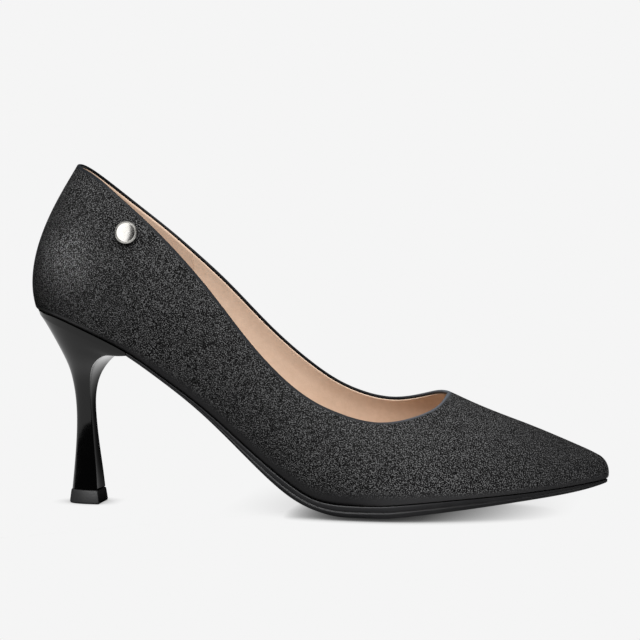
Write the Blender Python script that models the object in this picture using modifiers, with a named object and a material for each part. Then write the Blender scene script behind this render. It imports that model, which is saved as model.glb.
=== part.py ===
"""A right court shoe with a pointed toe and a slim flared heel.

Toe along +X, outer (lateral) side along -Y, floor at Z = 0.  The tables are in millimetres, drawn
for one size; the driving sizes stretch them.
"""
import math

import bmesh
import bpy
import numpy as np
from mathutils import Matrix, Vector

MM = 0.001

# Driving sizes, millimetres
LENGTH = 250.0  # back of the heel seat to the toe tip
BALL_WIDTH = 72.0  # across the feather edge at the joints
HEEL_HEIGHT = 85.0  # floor to the back of the seat
INSTEP_HEIGHT = 52.0  # floor to the throat
WALL = 1.6  # leather and lining together
GAP = 0.3  # between two pieces that meet
MARGIN = 6.0  # lasting margin turned in under the insole
MARGIN_SHARE = 0.55  # and no more than this share of the way to the middle, at the toe
FEATHER_ROUND = 1.2  # rounding of the lower edge of the upper
INSOLE_THICKNESS = 2.4
INSOLE_INSET = 2.1  # feather edge to the rim of the insole
SOLE_INSET = 0.4  # feather edge to the rim of the sole
SEAT_INSET = 0.9  # feather edge to the rim of the heel seat
CROWN_SHARE = 0.2  # share of the way to the middle that one thickness of crown may take, at the toe
BREAST_X = 46.4  # front of the heel seat, where the sole begins
THROAT_X = 181.6  # front of the opening, on the ridge of the vamp
THROAT_START_X = 140.0  # where the topline begins to turn across the vamp
CONE_START_X = 46.0  # behind this the sections fan round the heel
ROLL_BEND = 6  # the wall turns out only close under the topline
STUD_X = 46.5
STUD_Z = 119.0

# The sizes that the tables are drawn for
STRETCH_X = LENGTH / 250.0
STRETCH_Y = BALL_WIDTH / 72.0
STRETCH_Z = HEEL_HEIGHT / 85.0
STRETCH_RIDGE = INSTEP_HEIGHT / 52.0

# Mesh density
REAR_STATIONS = 26
THROAT_STATIONS = 12
VAMP_STATIONS = 19
WALL_LEVELS = 12
LINE_BEND = 3  # the mesh lines beside the throat meet the topline upright
SLAB_STATIONS = 44
HEEL_ARC = 22
HEEL_ACROSS = 6
HEEL_LEVELS = 24
STUD_SIDES = 40
WELD = 0.00001


class Table:
    """Rows with named columns."""

    def __init__(self, columns, rows):
        self.column = dict(zip(columns.split(), zip(*rows)))

    def __getitem__(self, name):
        return list(self.column[name])


# Sections of the last, from the back of the heel to the toe tip.  The feather edge is at x and
# lateral or medial of the centre line; each section climbs to the ridge (behind the throat, to the
# cone that the foot would fill).  collar: height of the topline.  flare: how far the wall leans out
# as it leaves the feather edge.  side and top: fullness of the lower and upper half of a section.
# roll: how far the topline turns out.
SECTIONS = Table(
    "x lateral medial ridge_x ridge collar_lateral collar_medial flare_lateral flare_medial side top roll",
    (
        (0.5, 0.0, 0.0, 46.0, 164.0, 147.8, 147.8, 10.4, 10.4, 0.38, 0.39, 2.4),
        (3.6, 10.3, 10.3, 46.0, 164.0, 147.5, 147.0, 9.4, 9.4, 0.39, 0.41, 2.3),
        (11.0, 18.0, 18.0, 46.0, 164.0, 146.2, 144.6, 7.2, 7.2, 0.41, 0.475, 1.6),
        (25.0, 23.6, 23.2, 46.0, 164.0, 142.4, 138.2, 4.6, 4.6, 0.44, 0.56, 0.4),
        (46.0, 25.0, 24.0, 46.0, 164.0, 131.3, 125.7, 3.4, 3.6, 0.47, 0.60, 0.0),
        (62.0, 24.2, 21.8, 62.0, 151.0, 116.8, 113.2, 3.2, 5.0, 0.50, 0.62, 0.0),
        (80.0, 24.4, 20.0, 80.0, 132.0, 97.5, 97.6, 3.6, 7.2, 0.50, 0.63, 0.0),
        (100.0, 27.6, 20.4, 100.0, 107.0, 73.7, 77.5, 4.0, 8.5, 0.50, 0.62, 0.0),
        (120.0, 33.0, 24.6, 120.0, 84.0, 54.9, 60.3, 3.2, 6.5, 0.50, 0.58, 0.0),
        (140.0, 37.0, 30.6, 140.0, 67.0, 44.4, 49.3, 2.6, 3.6, 0.50, 0.54, 0.0),
        (155.0, 38.0, 33.8, 155.0, 59.5, 40.9, 46.7, 2.2, 2.6, 0.50, 0.52, 0.0),
        (170.0, 37.0, 35.4, 170.0, 55.2, 42.7, 49.5, 2.0, 2.2, 0.50, 0.50, 0.0),
        (177.5, 35.5, 35.2, 177.5, 52.8, 45.6, 51.3, 1.9, 2.0, 0.50, 0.49, 0.0),
        (190.0, 31.9, 33.2, 190.0, 47.5, None, None, 1.8, 1.8, 0.50, 0.47, 0.0),
        (203.0, 26.7, 29.3, 203.0, 42.4, None, None, 1.6, 1.6, 0.50, 0.46, 0.0),
        (216.0, 20.5, 24.1, 216.0, 37.8, None, None, 1.4, 1.4, 0.50, 0.46, 0.0),
        (229.0, 13.8, 18.2, 228.5, 33.0, None, None, 1.3, 1.3, 0.50, 0.46, 0.0),
        (239.5, 8.0, 12.7, 237.4, 29.4, None, None, 1.2, 1.2, 0.52, 0.48, 0.0),
        (246.8, 2.4, 7.8, 243.0, 27.0, None, None, 1.1, 1.1, 0.55, 0.56, 0.0),
        (249.9, -3.0, 3.0, 245.5, 25.8, None, None, 1.0, 1.0, 0.55, 0.62, 0.0),
    ),
)

# The bottom in side view: height of the feather edge, and thickness of the sole below it
BOTTOM = Table(
    "x feather sole",
    (
        (0.0, 85.3, 1.4),
        (12.0, 83.0, 1.4),
        (25.0, 78.4, 1.4),
        (35.0, 74.1, 1.4),
        (48.0, 67.4, 1.9),
        (62.0, 57.8, 2.0),
        (80.0, 44.8, 3.0),
        (100.0, 28.6, 4.7),
        (118.0, 15.4, 6.2),
        (130.0, 8.9, 5.9),
        (140.0, 7.1, 6.8),
        (150.0, 6.8, 6.8),
        (160.0, 7.0, 7.0),
        (172.0, 7.9, 6.7),
        (187.0, 9.2, 6.1),
        (202.0, 10.3, 5.2),
        (217.0, 11.5, 4.3),
        (232.0, 13.1, 3.6),
        (243.0, 14.7, 2.8),
        (250.0, 15.8, 1.8),
    ),
)
TREAD_FLAT_FROM_X = 144.0  # the sole rests on the floor between these two
TREAD_FLAT_TO_X = 163.0

# Sideways position of the ridge
RIDGE_LINE = Table("x y", ((0.0, 0.0), (100.0, 2.0), (180.0, 4.0), (250.0, 3.0)))

# Edge of the sole from its rim to the tread: depth as a share of the thickness, inset as a share of
# it too.  Two bands with a groove between them, then a tread that is crowned across.
SOLE_EDGE = Table(
    "depth inset",
    (
        (0.0, 0.06),
        (0.05, 0.0),
        (0.34, 0.0),
        (0.38, 0.08),
        (0.44, 0.08),
        (0.48, 0.01),
        (0.68, 0.07),
        (0.79, 0.26),
        (0.85, 0.75),
        (0.90, 1.5),
        (0.95, 2.4),
        (1.0, 3.6),
    ),
)

# Heel block from the seat down: back edge and breast in side view, half the width at the breast,
# hollow of the breast
HEEL = Table(
    "back back_z breast breast_z half hollow",
    (
        (2.6, 83.3, 46.3, 66.5, 23.8, 0.2),
        (5.3, 79.4, 41.4, 66.2, 22.4, 1.0),
        (8.3, 74.4, 36.4, 66.1, 20.6, 1.8),
        (11.1, 69.3, 32.4, 64.2, 18.2, 2.2),
        (13.6, 64.2, 29.6, 61.6, 15.2, 2.0),
        (15.4, 59.2, 27.5, 58.2, 11.4, 1.5),
        (16.6, 53.6, 26.0, 53.4, 7.6, 1.0),
        (17.6, 46.0, 25.3, 46.0, 5.0, 0.6),
        (18.0, 36.5, 25.8, 36.5, 4.2, 0.5),
        (17.6, 25.5, 26.8, 25.5, 4.8, 0.5),
        (16.7, 14.5, 28.0, 14.5, 5.9, 0.5),
        (15.9, 6.3, 28.7, 6.3, 6.9, 0.5),
    ),
)
HEEL_SQUARENESS = 2.5  # 2 is an ellipse

# Top piece under the heel, from its joint to the floor
HEEL_TIP = Table(
    "z back breast half hollow",
    (
        (6.0, 15.8, 28.7, 7.0, 0.5),
        (5.4, 15.4, 29.0, 7.2, 0.5),
        (0.9, 14.8, 29.6, 7.7, 0.5),
        (0.0, 15.3, 29.1, 7.2, 0.5),
    ),
)

# Half profile of the stud: a plain low dome in a rounded rim
STUD = Table(
    "radius height",
    (
        (4.5, 0.0),
        (4.9, 0.4),
        (4.9, 1.2),
        (4.6, 1.6),
        (4.1, 1.65),
        (3.8, 1.5),
        (2.8, 1.75),
        (1.4, 1.92),
    ),
)
STUD_CROWN = 1.97

# Colour and surface of each piece
FINISH = Table(
    "part red green blue roughness metallic",
    (
        ("upper", 0.016, 0.016, 0.017, 0.5, 0.0),
        ("insole", 0.56, 0.39, 0.28, 0.6, 0.0),
        ("outsole", 0.022, 0.022, 0.024, 0.5, 0.0),
        ("heel", 0.008, 0.008, 0.009, 0.15, 0.0),
        ("heel_tip", 0.05, 0.05, 0.053, 0.45, 0.0),
        ("stud", 0.72, 0.71, 0.68, 0.18, 1.0),
    ),
)


class Curve:
    """Cubic spline through named knots; the end slopes are free unless they are given."""

    def __init__(self, knots, values, slopes=None):
        self.knots = np.array(knots, float)
        self.values = np.array(values, float)
        count = len(knots)
        step = np.diff(self.knots)
        rise = np.diff(self.values) / step
        matrix = np.zeros((count, count))
        right = np.zeros(count)
        matrix[0, 0] = matrix[-1, -1] = 1.0
        for i in range(1, count - 1):
            matrix[i, i - 1 : i + 2] = step[i - 1], 2.0 * (step[i - 1] + step[i]), step[i]
            right[i] = 6.0 * (rise[i] - rise[i - 1])
        if slopes is not None:
            matrix[0, :2] = 2.0 * step[0], step[0]
            right[0] = 6.0 * (rise[0] - slopes[0])
            matrix[-1, -2:] = step[-1], 2.0 * step[-1]
            right[-1] = 6.0 * (slopes[1] - rise[-1])
        self.bend = np.linalg.solve(matrix, right)
        self.step = step

    def __call__(self, at):
        i = int(np.clip(np.searchsorted(self.knots, at) - 1, 0, len(self.step) - 1))
        b = (at - self.knots[i]) / self.step[i]
        a = 1.0 - b
        bent = (a**3 - a) * self.bend[i] + (b**3 - b) * self.bend[i + 1]
        return a * self.values[i] + b * self.values[i + 1] + bent * self.step[i] ** 2 / 6.0

    def slope(self, at, reach=0.05):
        return (self(at + reach) - self(at - reach)) / (2.0 * reach)


def bisect(function, low, high, turns=48):
    """Where a rising function crosses zero."""
    for _ in range(turns):
        middle = (low + high) / 2.0
        if function(middle) < 0.0:
            low = middle
        else:
            high = middle
    return (low + high) / 2.0


FEATHER = Curve(BOTTOM["x"], BOTTOM["feather"])
SOLE_DEPTH = Curve(BOTTOM["x"], BOTTOM["sole"])
RIDGE_Y = Curve(RIDGE_LINE["x"], RIDGE_LINE["y"])
FAN_ROWS = SECTIONS["ridge_x"].count(CONE_START_X)
RIDGE = Curve(SECTIONS["ridge_x"][FAN_ROWS - 1 :], SECTIONS["ridge"][FAN_ROWS - 1 :])


def bottom_height(x, away):
    """Height at x of the bottom, moved square to itself by away."""
    return FEATHER(x) + away * math.hypot(1.0, FEATHER.slope(x))


def tread_height(x):
    """Underside of the sole: one flat spot at the joints, clear of the floor elsewhere."""
    if TREAD_FLAT_FROM_X <= x <= TREAD_FLAT_TO_X:
        return 0.0
    return max(0.0, FEATHER(x) - SOLE_DEPTH(x) * math.hypot(1.0, FEATHER.slope(x)))


class Side:
    """One half of the last, lateral or medial.

    A place on it has a distance t along the feather edge from the back of the heel, and a share v
    of the section from the feather edge (0) to the ridge (1).
    """

    def __init__(self, name, sign):
        x = SECTIONS["x"]
        y = [sign * width for width in SECTIONS[name]]
        y[-1] = RIDGE_LINE["y"][-1]
        steps = [math.dist(a, b) for a, b in zip(zip(x, y), zip(x[1:], y[1:]))]
        t = [0.0]
        for step in steps:
            t.append(t[-1] + step)
        self.t = t
        self.end = t[-1]
        self.x = Curve(t, x, (0.0, 0.0))
        self.y = Curve(t, y, (sign, -sign))
        self.flare = Curve(t, SECTIONS["flare_" + name])
        self.ridge_x = Curve(t, SECTIONS["ridge_x"])
        self.side = Curve(t, SECTIONS["side"])
        self.top = Curve(t, SECTIONS["top"])
        self.roll = Curve(t, SECTIONS["roll"])
        self.throat = self.at_ridge(THROAT_X)
        self.collar = [height for height in SECTIONS["collar_" + name] if height is not None]
        self.topline_t, self.topline_v = self.draw_topline()

    def at_x(self, x):
        return bisect(lambda t: self.x(t) - x, 0.0, self.end)

    def at_ridge(self, x):
        return bisect(lambda t: self.ridge_x(t) - x, self.t[FAN_ROWS], self.end)

    def outward(self, t):
        """Plan direction from the ridge to the feather edge, and the distance."""
        ridge_x = self.ridge_x(t)
        across = Vector((self.x(t) - ridge_x, self.y(t) - RIDGE_Y(ridge_x)))
        return across.normalized(), across.length

    def point(self, t, v):
        """A place on the outside of the upper."""
        out, width = self.outward(t)
        foot = Vector((self.x(t), self.y(t), FEATHER(self.x(t))))
        ridge_x = self.ridge_x(t)
        ridge = Vector((ridge_x, RIDGE_Y(ridge_x), RIDGE(ridge_x) * STRETCH_RIDGE))
        fall = RIDGE.slope(ridge_x) if ridge_x > THROAT_X else 0.0
        lean = self.flare(t)
        reach = self.top(t) * width
        low = foot + Vector((out.x * lean, out.y * lean, self.side(t) * (ridge.z - foot.z)))
        high = ridge + Vector((out.x * reach, out.y * reach, fall * out.x * reach))
        w = 1.0 - v
        return foot * w**3 + low * (3 * w * w * v) + high * (3 * w * v * v) + ridge * v**3

    def share_at_height(self, t, z):
        return bisect(lambda v: self.point(t, v).z - z, 0.0, 1.0)

    def draw_topline(self, unroll=70.0):
        """The topline as a smooth curve on the unrolled half: level with the other half at the back
        of the heel and square to the ridge at the throat, so its ends are mirrored."""
        t = self.t[: len(self.collar)]
        v = [self.share_at_height(a, z) for a, z in zip(t, self.collar)]
        flat = [(-t[2], v[2]), (-t[1], v[1])] + list(zip(t, v)) + [(self.throat, 1.0)]
        flat += [(t[-1], 2.0 - v[-1]), (t[-2], 2.0 - v[-2])]
        run = [0.0]
        for a, b in zip(flat, flat[1:]):
            run.append(run[-1] + math.hypot(b[0] - a[0], unroll * (b[1] - a[1])))
        start, stop = run[2], run[2 + len(t)]
        share = [(r - start) / (stop - start) for r in run]
        return Curve(share, [p[0] for p in flat]), Curve(share, [p[1] for p in flat])

    def stations(self, guide):
        """Where each line of the mesh leaves the feather edge and where it ends above.  Ahead of the
        throat the lines of the two halves meet on the ridge, at places that guide spaces out."""
        turn = self.at_x(THROAT_START_X)
        share_at = lambda t: bisect(lambda q: self.topline_t(q) - t, 0.0, 1.0)
        lines = []
        for i in range(REAR_STATIONS):
            t = turn * i / REAR_STATIONS
            lines.append((t, t, self.topline_v(share_at(t))))
        first = share_at(turn)
        for i in range(THROAT_STATIONS):
            q = first + (1.0 - first) * i / THROAT_STATIONS
            t = turn + (self.throat - turn) * i / THROAT_STATIONS
            lines.append((t, self.topline_t(q), self.topline_v(q)))
        for i in range(VAMP_STATIONS + 1):
            stop = guide.ridge_x(guide.throat + (guide.end - guide.throat) * i / VAMP_STATIONS)
            t = self.at_ridge(stop)
            lines.append((t, t, 1.0))
        return lines

    def inset(self, t, amount):
        """Plan position inside the feather edge, square to it."""
        along = Vector((self.x.slope(t), self.y.slope(t))).normalized()
        inward = Vector((-along.y, along.x))
        if inward.dot(self.outward(t)[0]) > 0.0:
            inward.negate()
        return Vector((self.x(t), self.y(t))) + inward * amount


LATERAL = Side("lateral", -1.0)
MEDIAL = Side("medial", 1.0)
SIDES = (LATERAL, MEDIAL)


def placed(point):
    """A drawn point at the driving sizes, in metres."""
    x, y, z = point
    return Vector((x * STRETCH_X, y * STRETCH_Y, z * STRETCH_Z)) * MM


def new_part(name, bm, collection):
    bmesh.ops.remove_doubles(bm, verts=bm.verts, dist=WELD)
    bmesh.ops.dissolve_degenerate(bm, edges=bm.edges, dist=WELD)
    bmesh.ops.recalc_face_normals(bm, faces=bm.faces)
    mesh = bpy.data.meshes.new(name)
    bm.to_mesh(mesh)
    bm.free()
    part = bpy.data.objects.new(name, mesh)
    collection.objects.link(part)
    material = bpy.data.materials.new(name)
    material.use_nodes = True
    shader = material.node_tree.nodes["Principled BSDF"]
    row = FINISH["part"].index(name)
    colour = [FINISH[channel][row] for channel in ("red", "green", "blue")]
    shader.inputs["Base Color"].default_value = (*colour, 1.0)
    shader.inputs["Roughness"].default_value = FINISH["roughness"][row]
    shader.inputs["Metallic"].default_value = FINISH["metallic"][row]
    mesh.materials.append(material)
    return part


def bridge(bm, first, second, closed=False):
    """Faces between two rows of vertices."""
    pairs = list(zip(first, second))
    if closed:
        pairs.append(pairs[0])
    for (a, b), (c, d) in zip(pairs, pairs[1:]):
        corners = list(dict.fromkeys((a, b, d, c)))
        bm.faces.new(corners)


def rows_of(bm, rows):
    """Vertices for rows of drawn points."""
    return [[bm.verts.new(placed(point)) for point in row] for row in rows]


def build_upper(collection):
    """The shell: lasting margin, rounded lower edge, wall up to the topline or the ridge."""
    bm = bmesh.new()
    for side in SIDES:
        lines = []
        for t, top_t, top_v in side.stations(LATERAL):
            line = []
            margin = min(MARGIN, MARGIN_SHARE * side.outward(t)[1])
            for amount in (margin, FEATHER_ROUND):
                plan = side.inset(t, amount)
                line.append((plan.x, plan.y, FEATHER(plan.x)))
            low_v = side.share_at_height(t, FEATHER(side.x(t)) + FEATHER_ROUND)
            roll = side.outward(t)[0].to_3d() * side.roll(t)
            for i in range(WALL_LEVELS + 1):
                share = i / WALL_LEVELS
                drift = 1.0 - (1.0 - share) ** LINE_BEND
                place = side.point(t + (top_t - t) * drift, low_v + (top_v - low_v) * share)
                line.append(place + roll * share**ROLL_BEND)
            lines.append(line)
        columns = rows_of(bm, lines)
        for left, right in zip(columns, columns[1:]):
            bridge(bm, left, right)
    upper = new_part("upper", bm, collection)
    shell = upper.modifiers.new("wall", "SOLIDIFY")
    shell.thickness = WALL * MM
    shell.offset = -1.0
    shell.use_even_offset = True
    shell.use_quality_normals = True
    return upper


def build_slab(bm, rings):
    """A solid between rings; each ring is a lateral row and a medial row of points."""
    made = [(rows_of(bm, (lateral,))[0], rows_of(bm, (medial,))[0]) for lateral, medial in rings]
    for (lateral_a, medial_a), (lateral_b, medial_b) in zip(made, made[1:]):
        bridge(bm, lateral_a + medial_a[::-1], lateral_b + medial_b[::-1], closed=True)
    for lateral, medial in (made[0], made[-1]):
        bridge(bm, lateral, medial)


def slab_line(side, start_x, amount, height):
    """Points inside the feather edge from start_x to the toe tip."""
    start = side.at_x(start_x)
    line = []
    for i in range(SLAB_STATIONS + 1):
        t = start + (side.end - start) * i / SLAB_STATIONS
        plan = side.inset(t, amount(side, t))
        line.append((plan.x, plan.y, height(plan.x)))
    return line


def build_insole(collection):
    """A slab on the turned-in margin, inside the wall."""
    bm = bmesh.new()
    under = WALL + GAP
    rings = []
    for away in (under, under + INSOLE_THICKNESS):

        def height(x, a=away):
            return bottom_height(x, a)

        rings.append([slab_line(side, 0.0, lambda side, t: INSOLE_INSET, height) for side in SIDES])
    build_slab(bm, rings)
    return new_part("insole", bm, collection)


def build_outsole(collection):
    """The sole from the heel's breast to the toe tip, with two bands round its edge."""
    bm = bmesh.new()
    rings = []
    for depth, share in zip(SOLE_EDGE["depth"], SOLE_EDGE["inset"]):

        def height(x, d=depth):
            rim = bottom_height(x, -GAP)
            return rim + (tread_height(x) - rim) * d

        def amount(side, t, s=share):
            return SOLE_INSET + s * min(SOLE_DEPTH(side.x(t)), CROWN_SHARE * side.outward(t)[1])

        rings.append([slab_line(side, BREAST_X + GAP, amount, height) for side in SIDES])
    build_slab(bm, rings)
    return new_part("outsole", bm, collection)


def d_ring(back, back_z, breast, breast_z, half, hollow):
    """A level of the heel: square-cornered at the breast, round at the back."""
    power = 2.0 / HEEL_SQUARENESS
    ring = []
    for i in range(HEEL_ARC + 1):
        angle = math.pi * i / HEEL_ARC
        turn = math.cos(angle)
        x = breast - (breast - back) * max(0.0, math.sin(angle)) ** power
        ring.append((x, -half * math.copysign(abs(turn) ** power, turn)))
    for i in range(1, HEEL_ACROSS):
        y = half * (1.0 - 2.0 * i / HEEL_ACROSS)
        ring.append((breast - hollow * (1.0 - (y / half) ** 2), y))
    tilt = (back_z - breast_z) / (breast - back)
    return [(x, y, breast_z + (breast - x) * tilt) for x, y in ring]


def seat_ring():
    """The top of the heel, under the upper."""
    plan = []
    for i in range(HEEL_ARC + 1):
        turn = 2.0 * i / HEEL_ARC - 1.0
        side = LATERAL if turn < 0.0 else MEDIAL
        plan.append(side.inset(side.at_x(BREAST_X) * abs(turn), SEAT_INSET))
    first, last = plan[-1], plan[0]
    for i in range(1, HEEL_ACROSS):
        plan.append(first.lerp(last, i / HEEL_ACROSS))
    return [(p.x, p.y, bottom_height(p.x, -GAP)) for p in plan]


def fill_rings(bm, rings):
    """A solid between levels of the heel."""
    rows = rows_of(bm, rings)
    for upper, lower in zip(rows, rows[1:]):
        bridge(bm, upper, lower, closed=True)
    for row in (rows[0], rows[-1]):
        lateral = row[: HEEL_ARC // 2 + 1]
        medial = row[HEEL_ARC : HEEL_ARC // 2 - 1 : -1]
        bridge(bm, lateral, medial)
        bm.faces.new([lateral[0], medial[0]] + row[HEEL_ARC + 1 :])


def build_heel(collection):
    """The block: its seat under the upper, a slim waist, wider again at the end."""
    bm = bmesh.new()
    level = list(range(len(HEEL["back"])))
    column = {name: Curve(level, HEEL[name]) for name in HEEL.column}
    rings = [seat_ring()]
    for i in range(HEEL_LEVELS + 1):
        at = level[-1] * i / HEEL_LEVELS
        rings.append(d_ring(**{name: curve(at) for name, curve in column.items()}))
    fill_rings(bm, rings)
    return new_part("heel", bm, collection)


def build_heel_tip(collection):
    """The wearing end under the block."""
    bm = bmesh.new()
    rows = zip(*(HEEL_TIP[name] for name in ("z", "back", "breast", "half", "hollow")))
    rings = [d_ring(back, z, breast, z, half, hollow) for z, back, breast, half, hollow in rows]
    fill_rings(bm, rings)
    return new_part("heel_tip", bm, collection)


def build_stud(collection):
    """A disc turned round its axis and set on the lateral wall, square to it."""
    t = LATERAL.at_x(STUD_X)
    v = LATERAL.share_at_height(t, STUD_Z)
    spot = LATERAL.point(t, v)
    reach = 0.01
    along = LATERAL.point(t + reach, v) - LATERAL.point(t - reach, v)
    climb = LATERAL.point(t, v + reach) - LATERAL.point(t, v - reach)
    normal = along.cross(climb).normalized()
    if normal.y > 0.0:
        normal.negate()
    bm = bmesh.new()
    rings = []
    for radius, height in zip(STUD["radius"], STUD["height"]):
        turns = [2.0 * math.pi * i / STUD_SIDES for i in range(STUD_SIDES)]
        rings.append([bm.verts.new((radius * math.cos(a), radius * math.sin(a), height)) for a in turns])
    for a, b in zip(rings, rings[1:]):
        bridge(bm, a, b, closed=True)
    bm.faces.new(rings[0])
    crown = bm.verts.new((0.0, 0.0, STUD_CROWN))
    for a, b in zip(rings[-1], rings[-1][1:] + rings[-1][:1]):
        bm.faces.new((a, b, crown))
    turn = normal.to_track_quat("Z", "Y").to_matrix().to_4x4()
    bm.transform(Matrix.Translation(spot + normal * GAP) @ turn)
    for vertex in bm.verts:
        vertex.co = placed(vertex.co)
    return new_part("stud", bm, collection)


def stand_on_origin(parts):
    """Move the shoe so that the bottom centre of its box is the origin."""
    corners = [vertex.co for part in parts for vertex in part.data.vertices]
    middle = [(min(c[i] for c in corners) + max(c[i] for c in corners)) / 2.0 for i in (0, 1)]
    floor = min(c.z for c in corners)
    for part in parts:
        part.data.transform(Matrix.Translation((-middle[0], -middle[1], -floor)))


def main():
    for old in list(bpy.data.objects):
        bpy.data.objects.remove(old, do_unlink=True)
    collection = bpy.data.collections.new("court_shoe")
    bpy.context.scene.collection.children.link(collection)
    makers = (build_upper, build_insole, build_outsole, build_heel, build_heel_tip, build_stud)
    stand_on_origin([make(collection) for make in makers])


if __name__ == "__main__":
    main()
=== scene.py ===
"""Looks of a pointed court shoe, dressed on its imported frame.

The last's tables are the part's own, in millimetres; the pieces are lofted from them more finely.
"""
import math

import bmesh
import bpy
import numpy as np
from mathutils import Matrix, Vector, kdtree


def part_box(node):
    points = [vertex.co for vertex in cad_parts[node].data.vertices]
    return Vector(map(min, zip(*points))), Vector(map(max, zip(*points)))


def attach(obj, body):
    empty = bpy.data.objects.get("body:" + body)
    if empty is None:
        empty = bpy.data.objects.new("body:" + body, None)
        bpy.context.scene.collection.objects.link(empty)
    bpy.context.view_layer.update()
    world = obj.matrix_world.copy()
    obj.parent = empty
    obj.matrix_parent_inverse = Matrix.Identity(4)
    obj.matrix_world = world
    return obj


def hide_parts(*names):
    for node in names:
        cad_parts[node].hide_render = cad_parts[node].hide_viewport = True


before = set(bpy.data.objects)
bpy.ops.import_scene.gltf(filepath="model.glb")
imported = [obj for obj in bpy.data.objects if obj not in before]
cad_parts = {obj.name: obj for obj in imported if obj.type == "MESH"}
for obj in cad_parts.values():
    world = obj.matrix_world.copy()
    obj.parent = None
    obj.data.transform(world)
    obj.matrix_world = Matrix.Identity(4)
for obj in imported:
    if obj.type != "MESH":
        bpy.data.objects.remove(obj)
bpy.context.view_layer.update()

MM = 0.001
BODY = "root"

# Sizes, millimetres
WALL = 1.6
GAP = 0.3
OVERLAP = 0.02  # a layer starts this far inside the one that it lies on
MARGIN = 6.0
MARGIN_SHARE = 0.55
FEATHER_ROUND = 1.2
INSOLE_THICKNESS = 2.4
SOLE_INSET = 0.4
SEAT_INSET = 0.9
SEAT_EASE = 0.25  # rounding of the heel's seat, inwards and downwards
SEAT_DROP = 0.22
CROWN_SHARE = 0.2
BREAST_X = 46.4
THROAT_X = 181.6
THROAT_START_X = 140.0
CONE_START_X = 46.0
ROLL_BEND = 6  # the wall turns out close under the topline
STUD_X = 46.5
STUD_Z = 119.0
FOLD_RISE = 0.3  # the rolled edge stands above the drawn topline
FOLD_REACH = 5.0
FOLD_TUCK = 0.5  # the fold goes on behind the lining
FOLD_SHADE = (0.45, 0.8)  # shares of its turn between which painted shade darkens the fold
FOLD_FADE = 0.6  # the fold's tone and the smooth leather reach this far down the outside
GRAIN_FADE = 1.0
LINING_LIP = 0.32  # thickness of the lining's edge
LINING_CLEAR = 0.1  # lining inside the wall
LINING_REACH = 9.0  # the lining is pulled down and thickened towards its edge over these
LINING_EASE = 7.0
GROOVE_PAINTED_LIGHT_X = (70.0, 130.0)  # painted light that takes the shade out of the sole's groove sets in between these
BARE_SEAT = 2.6  # height above the sole at which the grain is full, over the heel
BARE_WAIST = 8.0
BARE_TOE = 3.2
BARE_SEAT_X = (30.0, 75.0)
BARE_X = (150.0, 205.0)
BARE_START = 0.2  # share of that height at which the grain sets in
TOE_SHADE_X = (185.0, 238.0)  # painted shade darkens the leather towards the toe and evens its grain, between these
TOE_SHADE_SHARE = 0.5
SEAT_HIGHLIGHT_X = (40.0, 12.0)  # a painted highlight on the lip along the heel seat sets in between these
SEAT_HIGHLIGHT_HEIGHTS = (0.35, 0.9, 1.2, 2.0)  # starts, full from, full to, gone
THROAT_HIGHLIGHT_X = (148.0, 178.0)  # a painted highlight makes the fold over the topline paler at the throat
GRIP_END_X = 65.0  # front of the lining's heel piece
GRIP_STEP = 0.28
GRIP_CREST = 0.6  # its edge leans back to the lining and ends below the lining's own
GRIP_TOP = 0.7
SOCK_CLEAR = 0.12
SOCK_CUP = 0.7  # rise of the sock at its rim, and its drop along the middle
SOCK_BEND = 6
SOCK_DROP = 0.25
SOCK_SKIRT = 1.6
GROOVE_DEPTHS = (0.36, 0.44)  # shares of the sole's depth
TREAD_DEPTH = 0.88
HEEL_BEVEL = 0.35
TIP_BEVEL = 0.3

# Edges that stay sharp, in degrees
ALL_SMOOTH = 180.0
SHARP = 50.0
GRIP_SHARP = 40.0
STUD_SHARP = 60.0

# Mesh density
REAR_STATIONS = 96
THROAT_STATIONS = 44
VAMP_STATIONS = 60
WALL_ROWS = 64
ROUND_ROWS = 7
FOLD_ROWS = 9
EDGE_TURNS = 14
LIP_ROWS = 4
BEVEL_SEGMENTS = 3
LINE_BEND = 3  # mesh lines meet the throat upright
SLAB_STATIONS = 150
SOCK_ACROSS = 28
HEEL_ARC = 72
HEEL_ACROSS = 24
HEEL_LEVELS = 110
STUD_SIDES = 96


class Table:
    """Rows with named columns."""

    def __init__(self, columns, rows):
        self.rows = rows
        self.column = dict(zip(columns.split(), zip(*rows)))

    def __getitem__(self, name):
        return list(self.column[name])


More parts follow.
